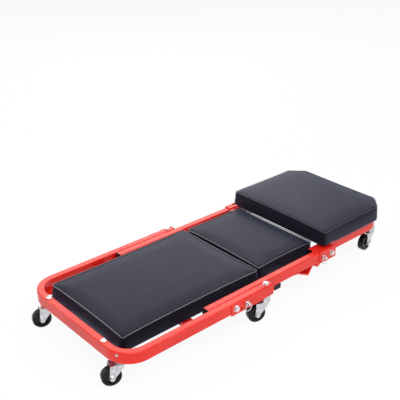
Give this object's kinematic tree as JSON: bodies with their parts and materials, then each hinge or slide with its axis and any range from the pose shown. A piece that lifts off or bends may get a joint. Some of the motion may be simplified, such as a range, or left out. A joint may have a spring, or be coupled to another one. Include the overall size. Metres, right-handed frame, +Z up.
{
  "type": "folding creeper stool",
  "caption": "Padded mechanic's creeper on swivel casters that folds at cross hinges into a low seat, held by spring-free pull pins.",
  "frame": {"origin": "on the floor under the middle of the creeper's length and width, wheels on the floor, unfolded flat", "axes": "+X towards the seat end, +Z up, +Y across to the far side"},
  "size_m": [1.0434, 0.452, 0.1627],
  "materials": {
    "red_paint": "gloss powder coat",
    "vinyl": "black vinyl cover, semi-gloss",
    "board": "dark hardboard, matt",
    "black_plastic": "moulded, fine grain",
    "wheel_black": "hard plastic, satin",
    "zinc": "bright zinc plate",
    "bolt_chrome": "bright plated bolt",
    "pin_steel": "turned steel"
  },
  "bodies": {
    "base": {"foot_frame": "red_paint", "foot_bars": "red_paint", "foot_plugs": "black_plastic", "foot_gussets": "red_paint", "foot_doublers": "red_paint", "foot_board": "board", "foot_pad": "vinyl", "foot_pad_screws": "zinc", "foot_bolts": "bolt_chrome", "bend_screws": "zinc", "foot_hinge_bolts": "bolt_chrome", "foot_hinge_nuts": "zinc", "foot_stems": "zinc"},
    "middle": {"middle_tubes": "red_paint", "middle_bar": "red_paint", "middle_hat_bar": "red_paint", "middle_stop_bar": "red_paint", "middle_plugs": "black_plastic", "middle_channels": "red_paint", "middle_board": "board", "middle_pad": "vinyl", "middle_pad_screws": "zinc", "seat_hinge_bolts": "bolt_chrome", "seat_hinge_nuts": "zinc"},
    "seat": {"seat_frame": "red_paint", "seat_bars": "red_paint", "seat_plugs": "black_plastic", "seat_board": "board", "seat_pad": "vinyl", "seat_pad_screws": "zinc", "seat_stems": "zinc"},
    "pin_foot_near": {"lock_pin_foot_near": "pin_steel"},
    "ring_body_foot_near": {"ring_foot_near": "pin_steel"},
    "pin_foot_far": {"lock_pin_foot_far": "pin_steel"},
    "ring_body_foot_far": {"ring_foot_far": "pin_steel"},
    "pin_seat_near": {"lock_pin_seat_near": "pin_steel"},
    "ring_body_seat_near": {"ring_seat_near": "pin_steel"},
    "pin_seat_far": {"lock_pin_seat_far": "pin_steel"},
    "ring_body_seat_far": {"ring_seat_far": "pin_steel"},
    "caster_foot_near": {"fork_foot_near": "zinc", "axle_foot_near": "zinc"},
    "wheel_body_foot_near": {"wheel_foot_near": "wheel_black"},
    "caster_foot_far": {"fork_foot_far": "zinc", "axle_foot_far": "zinc"},
    "wheel_body_foot_far": {"wheel_foot_far": "wheel_black"},
    "caster_mid_near": {"fork_mid_near": "zinc", "axle_mid_near": "zinc"},
    "wheel_body_mid_near": {"wheel_mid_near": "wheel_black"},
    "caster_mid_far": {"fork_mid_far": "zinc", "axle_mid_far": "zinc"},
    "wheel_body_mid_far": {"wheel_mid_far": "wheel_black"},
    "caster_seat_near": {"fork_seat_near": "zinc", "axle_seat_near": "zinc"},
    "wheel_body_seat_near": {"wheel_seat_near": "wheel_black"},
    "caster_seat_far": {"fork_seat_far": "zinc", "axle_seat_far": "zinc"},
    "wheel_body_seat_far": {"wheel_seat_far": "wheel_black"}
  },
  "joints": [
    {"name": "base_fold", "type": "hinge", "parent": "base", "child": "middle", "pos_m": [-0.15328, 0, 0.092], "axis": [0, -1, 0], "range_deg": [0, 130]},
    {"name": "seat_fold", "type": "hinge", "parent": "middle", "child": "seat", "pos_m": [0.24772, 0, 0.092], "axis": [0, 1, 0], "range_deg": [0, 130]},
    {"name": "pull_foot_near", "type": "slide", "parent": "base", "child": "pin_foot_near", "axis": [0, -1, 0], "range_m": [0, 0.045]},
    {"name": "ring_swing_foot_near", "type": "hinge", "parent": "pin_foot_near", "child": "ring_body_foot_near", "pos_m": [-0.11528, -0.222, 0.092], "axis": [-1, 0, 0], "range_deg": [-10, 75]},
    {"name": "pull_foot_far", "type": "slide", "parent": "base", "child": "pin_foot_far", "axis": [0, 1, 0], "range_m": [0, 0.045]},
    {"name": "ring_swing_foot_far", "type": "hinge", "parent": "pin_foot_far", "child": "ring_body_foot_far", "pos_m": [-0.11528, 0.222, 0.092], "axis": [1, 0, 0], "range_deg": [-10, 75]},
    {"name": "pull_seat_near", "type": "slide", "parent": "middle", "child": "pin_seat_near", "axis": [0, -1, 0], "range_m": [0, 0.045]},
    {"name": "ring_swing_seat_near", "type": "hinge", "parent": "pin_seat_near", "child": "ring_body_seat_near", "pos_m": [0.21172, -0.202, 0.092], "axis": [-1, 0, 0], "range_deg": [-10, 75]},
    {"name": "pull_seat_far", "type": "slide", "parent": "middle", "child": "pin_seat_far", "axis": [0, 1, 0], "range_m": [0, 0.045]},
    {"name": "ring_swing_seat_far", "type": "hinge", "parent": "pin_seat_far", "child": "ring_body_seat_far", "pos_m": [0.21172, 0.202, 0.092], "axis": [1, 0, 0], "range_deg": [-10, 75]},
    {"name": "swivel_foot_near", "type": "hinge", "parent": "base", "child": "caster_foot_near", "pos_m": [-0.47128, -0.156, 0.06], "axis": [0, 0, 1], "continuous": true},
    {"name": "roll_foot_near", "type": "hinge", "parent": "caster_foot_near", "child": "wheel_body_foot_near", "pos_m": [-0.49571, -0.14711, 0.0254], "axis": [-0.342, -0.9397, 0], "continuous": true},
    {"name": "swivel_foot_far", "type": "hinge", "parent": "base", "child": "caster_foot_far", "pos_m": [-0.47128, 0.156, 0.06], "axis": [0, 0, 1], "continuous": true},
    {"name": "roll_foot_far", "type": "hinge", "parent": "caster_foot_far", "child": "wheel_body_foot_far", "pos_m": [-0.49571, 0.16489, 0.0254], "axis": [-0.342, -0.9397, 0], "continuous": true},
    {"name": "swivel_mid_near", "type": "hinge", "parent": "base", "child": "caster_mid_near", "pos_m": [-0.03428, -0.203, 0.06], "axis": [0, 0, 1], "continuous": true},
    {"name": "roll_mid_near", "type": "hinge", "parent": "caster_mid_near", "child": "wheel_body_mid_near", "pos_m": [-0.05871, -0.19411, 0.0254], "axis": [-0.342, -0.9397, 0], "continuous": true},
    {"name": "swivel_mid_far", "type": "hinge", "parent": "base", "child": "caster_mid_far", "pos_m": [-0.03428, 0.203, 0.06], "axis": [0, 0, 1], "continuous": true},
    {"name": "roll_mid_far", "type": "hinge", "parent": "caster_mid_far", "child": "wheel_body_mid_far", "pos_m": [-0.05871, 0.19411, 0.0254], "axis": [0.342, -0.9397, 0], "continuous": true},
    {"name": "swivel_seat_near", "type": "hinge", "parent": "seat", "child": "caster_seat_near", "pos_m": [0.49583, -0.14911, 0.06], "axis": [0, 0, 1], "continuous": true},
    {"name": "roll_seat_near", "type": "hinge", "parent": "caster_seat_near", "child": "wheel_body_seat_near", "pos_m": [0.46993, -0.15138, 0.0254], "axis": [0.0872, -0.9962, 0], "continuous": true},
    {"name": "swivel_seat_far", "type": "hinge", "parent": "seat", "child": "caster_seat_far", "pos_m": [0.49583, 0.14911, 0.06], "axis": [0, 0, 1], "continuous": true},
    {"name": "roll_seat_far", "type": "hinge", "parent": "caster_seat_far", "child": "wheel_body_seat_far", "pos_m": [0.46993, 0.15138, 0.0254], "axis": [-0.0872, -0.9962, 0], "continuous": true}
  ]
}
